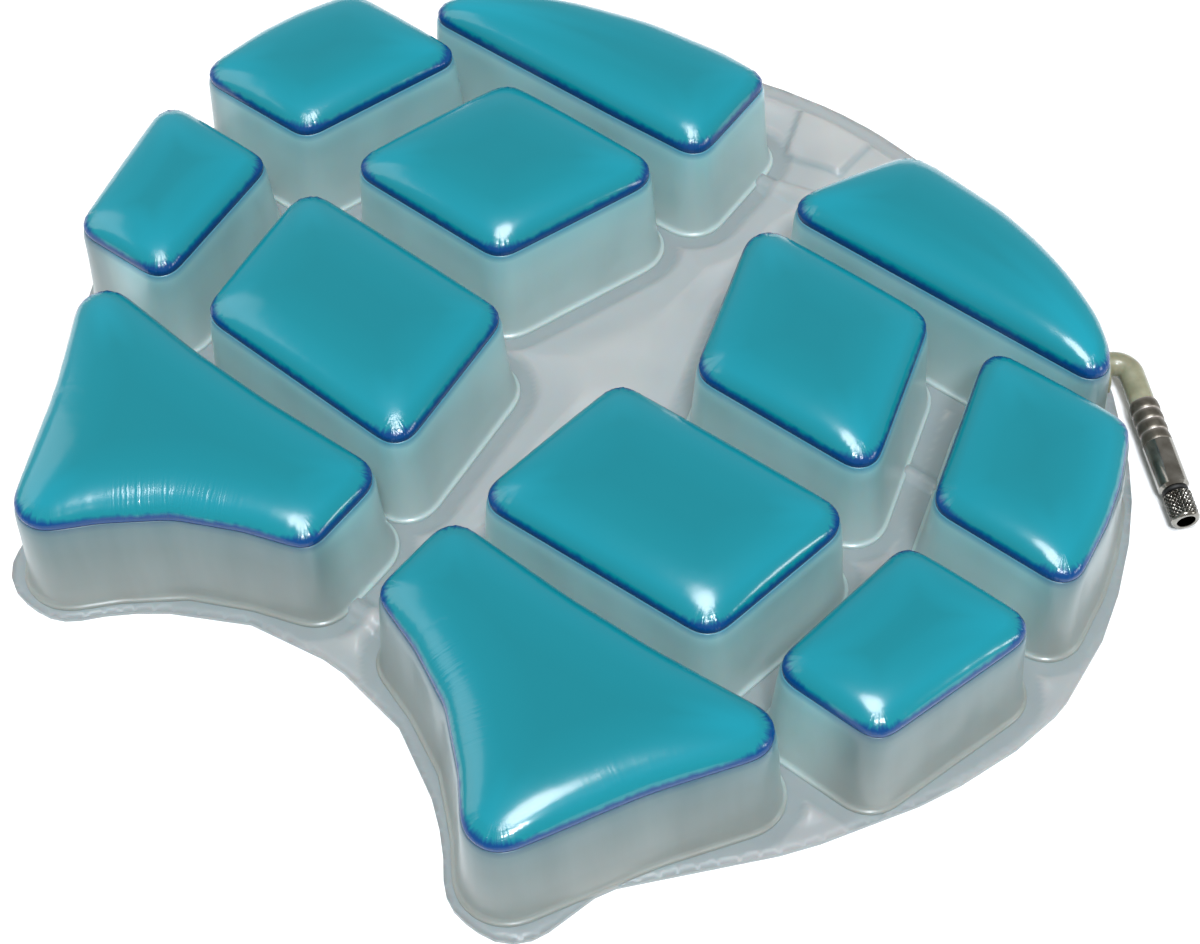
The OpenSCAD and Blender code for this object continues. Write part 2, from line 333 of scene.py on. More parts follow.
def tower(name, rings, hollow=False):
    """A circle whose loop is extruded once for each further ring, laid on the rings, and closed.

    Both ends are filled, or a hollow one's last ring is bridged to its first.
    """
    deselect_all()
    count = len(rings[0])
    bpy.ops.mesh.primitive_circle_add(vertices=count, radius=MM)
    piece = bpy.context.object
    piece.name = piece.data.name = name
    piece.data.attributes.new("place", "INT", "POINT").data.foreach_set("value", np.arange(count))
    points = np.array(rings[0])
    lay(piece, points)
    for ring in rings[1:]:
        edit(piece, bpy.ops.mesh.extrude_region_move)
        place = np.empty(len(piece.data.vertices), int)
        piece.data.attributes["place"].data.foreach_get("value", place)
        chosen = chosen_points(piece)
        points = points_of(piece)
        points[chosen] = np.asarray(ring)[place[chosen]]
        lay(piece, points)
    if hollow:
        edit(piece, open_edges, bpy.ops.mesh.bridge_edge_loops)
    else:
        edit(piece, select_all_points, lambda: bpy.ops.mesh.fill_holes(sides=0))
    edit(piece, face_outwards)
    return piece


def finished(piece, material, slot, body, *replaced):
    """Smooth shading, a finish, a body to ride on, and the nodes that the piece stands for."""
    pick(piece)
    bpy.ops.object.shade_smooth()
    piece.data.materials.clear()
    piece.data.materials.append(material)
    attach(piece, body)
    if replaced:
        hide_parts(*replaced)
    return piece


def keep(piece, name, values):
    """Stores one number at each point of a piece, for its finish to read."""
    attribute = piece.data.attributes.new(name, "FLOAT", "POINT")
    attribute.data.foreach_set("value", np.asarray(values, float))


def eased(value, low, high):
    """0 below low, 1 above high, and a smooth step between."""
    t = np.clip((value - low) / (high - low), 0, 1)
    return t * t * (3 - 2 * t)


def nearest(points, targets):
    """For each point the index of the nearest target and the distance to it."""
    tree = KDTree(len(targets))
    flat = targets.shape[1] == 2
    for index, target in enumerate(targets):
        tree.insert((*target, 0) if flat else target, index)
    tree.balance()
    found = [tree.find((*point, 0) if flat else point)[1:] for point in points]
    return np.array([f[0] for f in found]), np.array([f[1] for f in found])


print("tools ready")

# %% [markdown]
# ## Gel pads
# On the real cushion a thin clear skin is welded round the top edge of each cell and filled
# with coloured gel. The skin is held flat at the weld and swells into a pillow with soft
# ridges that run up from its corners. A grid is a good start, because its lines can run from
# corner to corner: its border is laid on the cell's outline, closer together near the edge,
# and cloth simulation blows it up while the border is pinned.

# %% Pad sheets
PAD_SPACING = 2.0 * MM
EDGE_GATHER = 0.6
SIDE_SAMPLES = 40


def gathered(count):
    """Places from 0 to 1 that lie closer together near both ends."""
    t = np.linspace(0, 1, count + 1)
    return t - EDGE_GATHER * np.sin(2 * np.pi * t) / (2 * np.pi)


def side_points(loop, start, end, places):
    """Points on the loop from one corner to the next."""
    count = len(loop)
    span = (end - start) % count
    side = loop[(start + np.arange(span + 1)) % count]
    lengths = np.concatenate([[0], np.cumsum(np.linalg.norm(np.diff(side, axis=0), axis=1))])
    wanted = places * lengths[-1]
    return np.stack([np.interp(wanted, lengths, side[:, k]) for k in (0, 1)], axis=1)


def pad_sheet(name, loop, z):
    """A flat grid whose border lies on the outline, corner to corner.

    Each side's length is taken as half of the way along it and straight back.
    """
    half = (loop.max(0) - loop.min(0)) / 2
    unit = (loop - (loop.max(0) + loop.min(0)) / 2) / half
    corners = [int(np.argmax(unit @ way)) for way in ((-1, -1), (1, -1), (1, 1), (-1, 1))]
    places = gathered(SIDE_SAMPLES)
    lengths = [loop_length(side_points(loop, corners[k], corners[(k + 1) % 4], places)) / 2
               for k in range(4)]
    across = int((lengths[0] + lengths[2]) / 2 / PAD_SPACING)
    along = int((lengths[1] + lengths[3]) / 2 / PAD_SPACING)
    u, v = gathered(across), gathered(along)
    low = side_points(loop, corners[0], corners[1], u)
    right = side_points(loop, corners[1], corners[2], v)
    high = side_points(loop, corners[2], corners[3], 1 - u[::-1])[::-1]
    left = side_points(loop, corners[3], corners[0], 1 - v[::-1])[::-1]
    deselect_all()
    bpy.ops.mesh.primitive_grid_add(x_subdivisions=across, y_subdivisions=along, size=2)
    piece = bpy.context.object
    piece.name = piece.data.name = name
    start = points_of(piece)
    i = np.rint((start[:, 0] + 1) / 2 * across).astype(int)
    j = np.rint((start[:, 1] + 1) / 2 * along).astype(int)
    a, b = u[i][:, None], v[j][:, None]
    flat = ((1 - b) * low[i] + b * high[i] + (1 - a) * left[j] + a * right[j]
            - (1 - a) * (1 - b) * low[0] - a * (1 - b) * low[-1]
            - (1 - a) * b * high[0] - a * b * high[-1])
    lay(piece, at_ring(flat, z))
    border = np.flatnonzero((i == 0) | (i == across) | (j == 0) | (j == along))
    piece.vertex_groups.new(name="weld").add([int(k) for k in border], 1.0, "REPLACE")
    return piece


pads = {}
for (cell, side), loop in outlines.items():
    pads[cell, side] = pad_sheet(f"{cell}_pad_{side}", loop, rim_z)
print("pad sheets:", {piece.name: len(piece.data.vertices) for piece in pads.values()})

# %% [markdown]
# The simulation gives each pad the shape of a blown-up skin. Gel also pushes its flanks out
# to the weld, so the heights then go through a curve that keeps the ridges at the
# corners, flattens the top and steepens the flanks. The crown's height is known from the frame.

# %% Blowing up the pads
AIR_PRESSURE = 1500
AIR_DAMPING = 2
SKIN_STIFFNESS = 4
SKIN_BENDING = 0.05
SKIN_MASS = 0.3
CLOTH_QUALITY = 5
SETTLING_FRAMES = 12
FLANK_POWER = 0.62
CROWN_POWER = 1.5
WELD_BAND = 1.7 * MM
MOST_SIDEWAYS = 1.5 * MM

for piece in pads.values():
    air = piece.modifiers.new("air", "CLOTH").settings
    air.quality = CLOTH_QUALITY
    air.mass = SKIN_MASS
    air.tension_stiffness = air.compression_stiffness = SKIN_STIFFNESS
    air.shear_stiffness = SKIN_STIFFNESS / 3
    air.bending_stiffness = SKIN_BENDING
    air.air_damping = AIR_DAMPING
    air.use_pressure = True
    air.uniform_pressure_force = AIR_PRESSURE
    air.effector_weights.gravity = 0
    air.vertex_group_mass = "weld"
for step in range(1, SETTLING_FRAMES + 1):
    bpy.context.scene.frame_set(step)
for (cell, side), piece in pads.items():
    flat = points_of(piece)
    pick(piece)
    bpy.ops.object.modifier_apply(modifier="air")
    points = points_of(piece)
    moved = np.clip(points[:, :2] - flat[:, :2], -MOST_SIDEWAYS, MOST_SIDEWAYS)
    height = np.clip(points[:, 2] - rim_z, 0, None)
    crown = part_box(f"{cell}_skin_{side}")[1].z - rim_z - WELD_BAND
    blown = crown * (1 - (1 - height / height.max()) ** CROWN_POWER) ** FLANK_POWER
    lay(piece, np.column_stack([flat[:, :2] + moved, rim_z + WELD_BAND + blown]))
    print(piece.name, "blown to", round(height.max() / MM, 1), "mm, crown",
          round(crown / MM, 1), "mm")

# %% [markdown]
# Each pad gets one round of subdivision. Its border is then extruded down to the weld as a
# short upright band, and closed underneath.

# %% Edges of the pads
BAND_STEPS = 3


def down_one_step():
    bpy.ops.transform.translate(value=(0, 0, -WELD_BAND / BAND_STEPS))


for (cell, side), piece in pads.items():
    pick(piece)
    piece.modifiers.new("smooth", "SUBSURF").levels = 1
    piece.modifiers["smooth"].render_levels = 1
    bpy.ops.object.modifier_apply(modifier="smooth")
    steps = [open_edges]
    for _ in range(BAND_STEPS):
        steps += [bpy.ops.mesh.extrude_region_move, down_one_step]
    edit(piece, *steps, bpy.ops.mesh.edge_face_add, face_outwards)
    print(piece.name, len(piece.data.vertices), "points")

# %% [markdown]
# ## Creases and what the finish needs to know
# The skin gathers in fine folds where the weld turns a corner, and they run square to the
# weld. So each point of a pad looks up the nearest point of the weld: how far away it is,
# how far along the weld it lies, how tightly the weld turns there and whether it curves
# inwards. The folds are modelled from those numbers, and the finish reads them as attributes.
# A ridge is where the ways to the weld point apart, since two flanks meet there.

# %% Creases
RIM_SAMPLE = 0.3 * MM
TURN_REACH = 6 * MM
HOLLOW_REACH = 16 * MM
FULLY_HOLLOW = 0.35
HOLLOW_RIBS = 0.5
FOLD_START = 1.2 * MM
FOLD_FULL = 3 * MM
FOLD_REACH = 11 * MM
FOLD_DEPTH = 0.16 * MM
FOLD_ON_STRAIGHTS = 0.25
CORNER_TURNS = (0.25, 0.9)
# Each wave of the folds: its width, its share and where it starts.
FOLD_WAVES = ((3.1 * MM, 1.0, 0.3), (2.03 * MM, 0.8, 1.9), (1.37 * MM, 0.5, 4.1),
              (5.3 * MM, 0.8, 2.6))
RIDGE_ROUNDS = 60
RIDGE_STARTS = (1 * MM, 6 * MM)
RIDGE_ENDS = (9 * MM, 20 * MM)


def folds(along, seed):
    """A few waves of different widths, added up, for uneven folds along the weld."""
    return sum(share * np.sin(2 * np.pi * along / width + start + seed * width / MM)
               for width, share, start in FOLD_WAVES) / 2


def measured(piece, loop):
    """What each point of a pad knows about the weld.

    Its place along the weld, the distance to it over the surface, how much the weld turns
    there, how much it curves inwards, the distance in plan and the way to it.
    """
    count = int(loop_length(loop) / RIM_SAMPLE)
    fine = spaced(loop, count)
    way = outward(fine)
    reach = int(TURN_REACH / RIM_SAMPLE)
    before, after = np.roll(way, reach, axis=0), np.roll(way, -reach, axis=0)
    turn = np.arccos(np.clip((before * after).sum(1), -1, 1)) / (math.pi / 2)
    reach = int(HOLLOW_REACH / RIM_SAMPLE)
    before, after = np.roll(way, reach, axis=0), np.roll(way, -reach, axis=0)
    bend = before[:, 0] * after[:, 1] - before[:, 1] * after[:, 0]
    hollow = np.clip(-bend / FULLY_HOLLOW, 0, 1)
    points = points_of(piece)
    place, gap = nearest(points[:, :2], fine)
    surface = np.sqrt(gap ** 2 + np.clip(points[:, 2] - rim_z, 0, None) ** 2)
    towards = fine[place] - points[:, :2]
    towards /= np.maximum(np.linalg.norm(towards, axis=1), CLOSE)[:, None]
    return place * RIM_SAMPLE, surface, turn[place], hollow[place], gap, towards


def spread(piece, values, rounds):
    """Each point's value averaged with its neighbours', some number of times."""
    edges = np.empty(len(piece.data.edges) * 2, int)
    piece.data.edges.foreach_get("vertices", edges)
    edges = edges.reshape(-1, 2)
    share = np.bincount(edges.ravel(), minlength=len(values)).astype(float)
    values = values.astype(float)
    for _ in range(rounds):
        total = np.zeros_like(values)
        np.add.at(total, edges[:, 0], values[edges[:, 1]])
        np.add.at(total, edges[:, 1], values[edges[:, 0]])
        values = (values + total / share.reshape(-1, *[1] * (values.ndim - 1))) / 2
    return values


for number, ((cell, side), piece) in enumerate(pads.items()):
    along, surface, turn, hollow, gap, towards = measured(piece, outlines[cell, side])
    fade = eased(surface, FOLD_START, FOLD_FULL) * (1 - eased(surface, FOLD_FULL, FOLD_REACH))
    at_corner = FOLD_ON_STRAIGHTS + (1 - FOLD_ON_STRAIGHTS) * eased(turn, *CORNER_TURNS)
    push = FOLD_DEPTH * folds(along, number) * fade * at_corner
    points = points_of(piece)
    normals = np.empty(len(points) * 3)
    piece.data.vertices.foreach_get("normal", normals)
    lay(piece, points + normals.reshape(-1, 3) * push[:, None])
    ridge = 1 - np.linalg.norm(spread(piece, towards, RIDGE_ROUNDS), axis=1)
    keep(piece, "weld_gap", surface)
    keep(piece, "weld_place", along)
    keep(piece, "weld_turn", turn)
    keep(piece, "weld_hollow", HOLLOW_RIBS * hollow)
    keep(piece, "ridge", ridge * eased(gap, *RIDGE_STARTS) * (1 - eased(gap, *RIDGE_ENDS)))
    print(piece.name, "ridge up to", round(float(ridge.max()), 2))

# %% [markdown]
# ## Air cell films
# A cell is one formed film. Its top edge is tucked in under the pad, its wall leans out a
# little and waves faintly, and its foot ends in a narrow lip that stands on the flange. It
# is drawn as a loop that is extruded downwards ring by ring. Where two cells stand close
# together, each foot takes less room.

# %% Air cell films
WALL_AT_RIM = 0.9 * MM
WALL_AT_FOOT = 3.4 * MM
WALL_LEAN = WALL_AT_FOOT - 0.4 * MM - WALL_AT_RIM
WALL_CURVE = 1.3
FOOT_Z = 2.4 * MM
FLARE_WIDTH = 1.5 * MM
FLARE_SHARE = 0.42
FLARE_SMOOTHING = 4
WALL_WAVE = 0.28 * MM
# Each ring of the top edge: how far out it is, and how far below the rim, in mm.
TOP_EDGE = ((-3.0, 0.9), (-1.0, 0.4), (-0.3, 0.12), (0.0, 0.12), (0.18, 0.3), (0.35, 0.8),
            (0.55, 1.6), (0.78, 2.6))
# Each ring of the foot: its share of the flare's width, and its height in mm over FOOT_Z.
FOOT = ((0.0, 3.6), (0.08, 2.3), (0.25, 1.6), (0.5, 1.2), (0.78, 1.05), (0.95, 0.85),
        (1.02, 0.45), (1.05, 0.1), (1.05, -0.9))
WALL_RINGS = 7
OUTSIDE_SHADE_REACH = (8 * MM, 26 * MM)

feet = {key: grown(loop, WALL_AT_FOOT) for key, loop in outlines.items()}


def room_round(key):
    """How far each point of a cell's foot is from the nearest other cell's foot."""
    others = np.vstack([foot for other, foot in feet.items() if other != key])
    return nearest(feet[key], others)[1]


def smoothed_round(values, reach):
    """Each value of a closed loop averaged with its neighbours within reach."""
    closed = np.r_[values[-reach:], values, values[:reach]]
    width = 2 * reach + 1
    return np.convolve(closed, np.ones(width) / width, "valid")


films = {}
for number, key in enumerate(outlines):
    loop = outlines[key]
    # Each wall waves in its own way: 5 to 7 broad waves, and 11 to 14 finer, weaker ones.
    way_round = 2 * np.pi * np.arange(len(loop)) / len(loop)
    wave = WALL_WAVE * (np.sin(way_round * (5 + number % 3) + number)
                        + 0.6 * np.sin(way_round * (11 + number % 4) + 2 * number))
    rings = [at_ring(grown(loop, out * MM), rim_z - down * MM) for out, down in TOP_EDGE]
    top_z, low_z = rim_z - TOP_EDGE[-1][1] * MM, FOOT_Z + FOOT[0][1] * MM
    for share in np.linspace(0, 1, WALL_RINGS + 2)[1:-1]:
        out = WALL_AT_RIM + WALL_LEAN * share ** WALL_CURVE + wave * math.sin(math.pi * share)
        rings.append(at_ring(grown(loop, out), top_z + (low_z - top_z) * share))
    flare = np.minimum(FLARE_WIDTH, FLARE_SHARE * room_round(key))
    flare = smoothed_round(flare, FLARE_SMOOTHING)
    for share, height in FOOT:
        rings.append(at_ring(grown(loop, WALL_AT_FOOT + flare * share), FOOT_Z + height * MM))
    film = films[key] = tower(f"{key[0]}_film_{key[1]}", rings)
    # How near the cushion's outside each point lies: the finish paints those walls darker, as
    # painted shade.
    edge_gap = nearest(points_of(film)[:, :2], base_loop)[1]
    keep(film, "outer", 1 - eased(edge_gap, *OUTSIDE_SHADE_REACH))
    print(film.name, "foot flares by", round(flare.min() / MM, 1), "to",
          round(flare.max() / MM, 1), "mm")

# %% [markdown]
# ## Flange film
# The film between the cells is welded to the bottom sheet in a narrow track round each foot.
# Elsewhere air gets between the two sheets, so the film rises in soft cushions, and at the
# outside it lies down flat in a hem. A fine grid is trimmed to the base's outline, and its
# edge is pulled onto the outline.

# %% Trimming the flange film
FLANGE_SPACING = 1.2 * MM
TRIM_MARGIN = 0.35 * FLANGE_SPACING


def inside(points, loop):
    """Which points lie inside a closed loop."""
    found = np.zeros(len(points), bool)
    for start, end in zip(loop, np.roll(loop, -1, axis=0)):
        if start[1] == end[1]:
            continue
        spans = (start[1] > points[:, 1]) != (end[1] > points[:, 1])
        cross = start[0] + (points[:, 1] - start[1]) / (end[1] - start[1]) * (end[0] - start[0])
        found ^= spans & (points[:, 0] < cross)
    return found


deselect_all()
low_corner, high_corner = base_loop.min(0), base_loop.max(0)
size = high_corner - low_corner
columns, rows = (int(length / FLANGE_SPACING) for length in size)
bpy.ops.mesh.primitive_grid_add(x_subdivisions=columns, y_subdivisions=rows, size=1)
flange = bpy.context.object
flange.name = flange.data.name = "flange_film"
points = points_of(flange)
points[:, :2] = low_corner + (points[:, :2] + 0.5) * size
lay(flange, points)
edge_gap = nearest(points[:, :2], base_loop)[1]
outside = ~inside(points[:, :2], base_loop) | (edge_gap < TRIM_MARGIN)
edit(flange, lambda: bpy.ops.mesh.select_all(action="DESELECT"))
flange.data.vertices.foreach_set("select", outside)
edit(flange, lambda: bpy.ops.mesh.delete(type="VERT"))


edit(flange, open_edges)
border = chosen_points(flange)
points = points_of(flange)
points[border, :2] = base_loop[nearest(points[border, :2], base_loop)[0]]
lay(flange, points)
print("flange film:", len(points), "points,", int(border.sum()), "on its edge")

# %% [markdown]
# The heights come next, from the distance to the nearest foot. Ducts are rounded ridges
# between two cells, where air can pass. The paired ones are raised to at least a low ridge,
# and the middle ones stand on top of the soft cushions, as does the low patch where the film
# was filled at the rounded end. The track and the patch's edge take a greyer tone.

# %% Shaping the flange film
TRACK_WIDTH = 6.2 * MM
SHOULDER_WIDTH = 2.2 * MM
SHOULDER_HEIGHT = 1.6 * MM
PUFF_HEIGHT = 3.2 * MM
PUFF_REACH = 24 * MM
RIPPLE_HEIGHT = 0.35 * MM
RIPPLE_REACH = 14 * MM
HEM_WIDTH = 4.5 * MM
HEM_RISE = 7 * MM
HEM_DROP = 0.35 * MM
FLANGE_LOW = 1.25 * MM
UNDER_FOOT = -0.8 * MM
FOOT_SAMPLE = 0.5 * MM
# Each duct is a line from one place to another, in mm. The paired ones are on both sides.
PAIRED_DUCTS = (((58, 70), (58, 86)), ((64, -6), (64, 16)), ((62, -76), (62, -58)),
                ((84, 45), (116, 45)), ((100, -30), (124, -30)))
MIDDLE_DUCTS = (((-20, 117), (42, 117)), ((-18, -98), (18, -98)))
DUCT_RADIUS = 2.6 * MM
DUCT_SPREAD = 1.25
PAIRED_DUCT_SHARE = 0.7
MIDDLE_DUCT_SHARE = 0.8
PATCH = np.array(((-16.4, 149.8), (-10.2, 130.7), (12.5, 131.4), (13.3, 151))) * MM
PATCH_SAMPLES = 200
PATCH_HEIGHT = 1.5 * MM
PATCH_EDGE = 1.0 * MM
TRACK_TONE = (TRACK_WIDTH - 0.6 * MM, TRACK_WIDTH + 0.8 * MM)
PATCH_TONE = (0.5 * MM, 1.8 * MM)


def duct(start, end, radius):
    """Height of a rounded ridge along a line from start to end."""
    start, end = np.array(start) * MM, np.array(end) * MM
    along = end - start
    t = np.clip(((plan - start) @ along) / (along @ along), 0, 1)
    off = np.linalg.norm(plan - start - t[:, None] * along, axis=1)
    return radius * np.sqrt(np.clip(1 - (off / (DUCT_SPREAD * radius)) ** 2, 0, 1))


points = points_of(flange)
plan = points[:, :2]
foot_points = np.vstack([spaced(foot, int(loop_length(foot) / FOOT_SAMPLE))
                         for foot in feet.values()])
patch_points = spaced(PATCH, PATCH_SAMPLES)
foot_gap = nearest(plan, foot_points)[1]
edge_gap = nearest(plan, base_loop)[1]
under = np.any([inside(plan, foot) for foot in feet.values()], axis=0)

shoulder_end = TRACK_WIDTH + SHOULDER_WIDTH
shoulder = SHOULDER_HEIGHT * eased(foot_gap, TRACK_WIDTH, shoulder_end)
puff = PUFF_HEIGHT * eased(foot_gap, shoulder_end, PUFF_REACH)
# The ripple is two long waves across each other, one of them bent so that it doesn't repeat.
ripple = RIPPLE_HEIGHT * eased(foot_gap, TRACK_WIDTH, RIPPLE_REACH) \
    * np.sin(plan[:, 0] / (5.1 * MM) + 1.3 * np.sin(plan[:, 1] / (9 * MM))) \
    * np.sin(plan[:, 1] / (6.3 * MM) + 0.7)
rise = (shoulder + puff + ripple) * eased(edge_gap, HEM_WIDTH, HEM_WIDTH + HEM_RISE)
for (x1, y1), (x2, y2) in PAIRED_DUCTS:
    for way in (1, -1):
        ridge = duct((way * x1, y1), (way * x2, y2), PAIRED_DUCT_SHARE * DUCT_RADIUS)
        rise = np.maximum(rise, ridge)
for start, end in MIDDLE_DUCTS:
    rise = rise + MIDDLE_DUCT_SHARE * duct(start, end, DUCT_RADIUS)
patch_gap = nearest(plan, patch_points)[1]
rise = rise + PATCH_HEIGHT * inside(plan, PATCH) * eased(patch_gap, 0, PATCH_EDGE)
points[:, 2] = FOOT_Z + np.where(under, UNDER_FOOT, rise)
points[border, 2] = FOOT_Z - HEM_DROP
lay(flange, points)
edit(flange, open_edges, bpy.ops.mesh.extrude_region_move,
     lambda: bpy.ops.transform.translate(value=(0, 0, FLANGE_LOW - FOOT_Z + HEM_DROP)),
     bpy.ops.mesh.edge_face_add, face_outwards)
plan = points_of(flange)[:, :2]
track = 1 - eased(nearest(plan, foot_points)[1], *TRACK_TONE)
patch_line = 1 - eased(nearest(plan, patch_points)[1], *PATCH_TONE)
# On the flange the same share marks the weld track and the patch's edge, for their greyer tone.
keep(flange, "outer", np.maximum(track, patch_line))
print("flange film rises to", round(points[:, 2].max() / MM, 1), "mm")

# %% [markdown]
# ## Knurled collar
# The collar is turned brass with a diamond knurl, so that fingers grip it. It is a loop
# extruded along the valve's axis, round the outside, over the end and down into the port.
# The knurl is two sets of crossing grooves cut on a slant, and the smooth lands at both ends
# stay as turned.

# %% Knurled collar
RING_POINTS = 180
KNURL_TEETH = 20
KNURL_PITCH = 1.5 * MM
KNURL_DEPTH = 0.5 * MM
KNURL_STEP = 0.16 * MM
BEVEL = 0.7 * MM
RIM_WIDTH = 0.8 * MM
PORT_RADIUS, PORT_DEPTH = 2.9 * MM, 4.8 * MM
POCKET_RADIUS, POCKET_DEPTH = 1.9 * MM, 1.6 * MM

turn_joint = next(joint for joint in frame["joints"] if joint["name"] == "collar_turn")
valve_axis = Vector(turn_joint["axis"]).normalized()
valve_point = np.array(turn_joint["pos_m"])
side_way = valve_axis.cross(Vector((0, 0, 1))).normalized()
top_way = np.array(side_way.cross(valve_axis))
valve_axis, side_way = np.array(valve_axis), np.array(side_way)


def from_axis(piece):
    """How far along the valve's axis each point of a piece is, and how far from it."""
    offset = points_of(piece) - valve_point
    along = offset @ valve_axis
    return along, np.linalg.norm(offset - along[:, None] * valve_axis, axis=1)


def valve_ring(radius, along):
    """A ring of points round the valve's axis; the radius may differ from point to point."""
    angle = np.arange(RING_POINTS)[:, None] * 2 * math.pi / RING_POINTS
    radius = np.broadcast_to(radius, RING_POINTS)[:, None]
    return valve_point + along * valve_axis \
        + radius * (np.cos(angle) * side_way + np.sin(angle) * top_way)


def knurled(along):
    """The collar's radius round one ring of the knurl: crossing grooves that leave diamonds."""
    angle = np.arange(RING_POINTS) * KNURL_TEETH / RING_POINTS
    slant = along / KNURL_PITCH
    first = np.abs((angle + slant) % 1 - 0.5) * 2
    second = np.abs((angle - slant) % 1 - 0.5) * 2
    return collar_radius - KNURL_DEPTH * (1 - np.minimum(first, second))


collar_along, collar_off = from_axis(nodes["valve_collar"])
collar_radius = collar_off.max()
wide = collar_off > collar_radius - RIM_WIDTH
start, stop = collar_along[wide].min(), collar_along[wide].max()
port_floor = stop - PORT_DEPTH

rings = [valve_ring(PORT_RADIUS, start + 0.05 * MM), valve_ring(collar_radius - BEVEL, start),
         valve_ring(collar_radius - 0.1 * MM, start + BEVEL)]
for along in np.arange(start + 1.2 * BEVEL, stop - 1.6 * BEVEL, KNURL_STEP):
    rings.append(valve_ring(knurled(along), along))
# The land and the rounded front edge: how far in from the radius, and how far from the end.
for inwards, back_by in ((0.12 * MM, 1.4 * BEVEL), (0.12 * MM, BEVEL), (0.3 * MM, 0.45 * BEVEL),
                         (BEVEL, 0.08 * BEVEL), (1.1 * BEVEL, 0)):
    rings.append(valve_ring(collar_radius - inwards, stop - back_by))
# The port: its softened mouth, its wall, its floor and the pocket in it.
for radius, along in ((PORT_RADIUS + 0.15 * MM, stop), (PORT_RADIUS, stop - 0.15 * MM),
                      (PORT_RADIUS, port_floor), (POCKET_RADIUS, port_floor),
                      (POCKET_RADIUS, port_floor - POCKET_DEPTH)):
    rings.append(valve_ring(radius, along))
collar = tower("knurled_collar", rings)

along, off = from_axis(collar)
on_knurl = (along > start + BEVEL) & (along < stop - 1.5 * BEVEL) & (off > PORT_RADIUS + MM)
in_port = off < PORT_RADIUS + 0.05 * MM
# The knurl's grooves by their depth, and the whole port, for the finish to paint shade into.
keep(collar, "groove", np.where(on_knurl, (collar_radius - off) / KNURL_DEPTH, 1.0 * in_port))
print("collar radius", round(collar_radius / MM, 2), "mm, length", round((stop - start) / MM, 2),
      "mm,", len(collar.data.polygons), "faces")

# %% [markdown]
# ## Crimped ferrule
# The ferrule is a thin brass sleeve that was pressed in rings round the end of the elbow. Each
# ring swells towards the valve and then drops back sharply. The brass is dull, and the narrow
# steps between the rings carry a painted highlight. It is drawn along the same axis, outside
# and inside, and its two ends are bridged.

# %% Crimped ferrule
FERRULE_RINGS = 4
CRIMP_DEPTH = 0.4 * MM
# Along one ring: the share of its length, and the share of the depth that it drops there.
RING_PROFILE = ((0.0, 1.0), (0.1, 0.7), (0.3, 0.25), (0.55, 0.03), (0.78, 0.0), (0.9, 0.25),
                (0.96, 0.8))
END_EASE = 0.2 * MM

along, off = from_axis(nodes["hose_ferrule"])
start, stop, bore, ferrule_radius = along.min(), along.max(), off.min(), off.max()
ring_length = (stop - start) / FERRULE_RINGS
rings = [valve_ring(bore, start), valve_ring(ferrule_radius - CRIMP_DEPTH, start)]
for number in range(FERRULE_RINGS):
    for share, drop in RING_PROFILE:
        rings.append(valve_ring(ferrule_radius - CRIMP_DEPTH * drop,
                                start + ring_length * (number + share)))
rings += [valve_ring(ferrule_radius - END_EASE, stop), valve_ring(bore, stop)]
ferrule = tower("crimped_ferrule", rings, hollow=True)
off = from_axis(ferrule)[1]
# How deep each point lies in a crimp, which the finish uses to paint a highlight on the steps.
keep(ferrule, "groove", np.clip((ferrule_radius - off) / CRIMP_DEPTH, 0, 1) ** 2)
print("ferrule radius", round(ferrule_radius / MM, 2), "mm, length",
      round((stop - start) / MM, 2), "mm")

# %% [markdown]
# ## Gel pads: coloured silicone gel under a clear polyurethane skin
# The skin is cast glossy film, so it takes soft reflections with clean edges. The gel under
# it is dyed: where it is thick it looks turquoise and its flanks are a greener teal. The
# ridges are tinted lighter, a painted highlight for the light they catch. At the weld, where
# skin and cell film meet, the dye gathers in a deep blue line. That line is ragged, because
# the weld pinches the skin into fine folds.

# %% Gel pad finish
FINE_FOLD_SCALE = 900.0
WIDE_FOLD_SCALE = 330.0
CORNER_RAGGEDNESS = 2.2
BAND_RAGGEDNESS = 0.0017
BAND_WIDTH = 0.0025

pad_finish, shader = finish_of("dyed_gel_under_clear_skin", "#1fa0b5", Roughness=0.2, IOR=1.45,
                               Coat_Weight=0.5, Coat_Roughness=0.13, Coat_IOR=1.5,
                               Specular_IOR_Level=0.42)
gap, place, turn, hollow, ridge = (
    stored(pad_finish, name)
    for name in ("weld_gap", "weld_place", "weld_turn", "weld_hollow", "ridge"))
where = object_place(pad_finish)

# The blue band at the weld. Its edge wavers, and at the corners the fine folds, about 1 mm
# apart, make it ragged.
fine_folds = line_noise(pad_finish, place, FINE_FOLD_SCALE)
wide_folds = line_noise(pad_finish, place, WIDE_FOLD_SCALE)
ragged = worked_out(pad_finish, "MULTIPLY", fine_folds, turn)
ragged = worked_out(pad_finish, "MULTIPLY", ragged, CORNER_RAGGEDNESS)
ragged = worked_out(pad_finish, "ADD", wide_folds, ragged)
band_edge = worked_out(pad_finish, "MULTIPLY_ADD", ragged, BAND_RAGGEDNESS, BAND_WIDTH)
band = toned(pad_finish, worked_out(pad_finish, "DIVIDE", gap, band_edge),
             ((0.0, "#ffffff"), (0.62, "#ffffff"), (1.0, "#000000")))

# The gel's colour by its depth, with faint clouds in it and a painted highlight on the ridges
depth = ranged(pad_finish, gap, 0.001, 0.026)
gel = toned(pad_finish, depth, ((0.0, "#045a72"), (0.08, "#047c88"), (0.28, "#038495"),
                                (0.6, "#027a88"), (1.0, "#017582")))
cloud_share = worked_out(pad_finish, "MULTIPLY", noise(pad_finish, where, 28.0, 3.0), 0.3)
gel = tinted(pad_finish, cloud_share, gel, "#067a80")
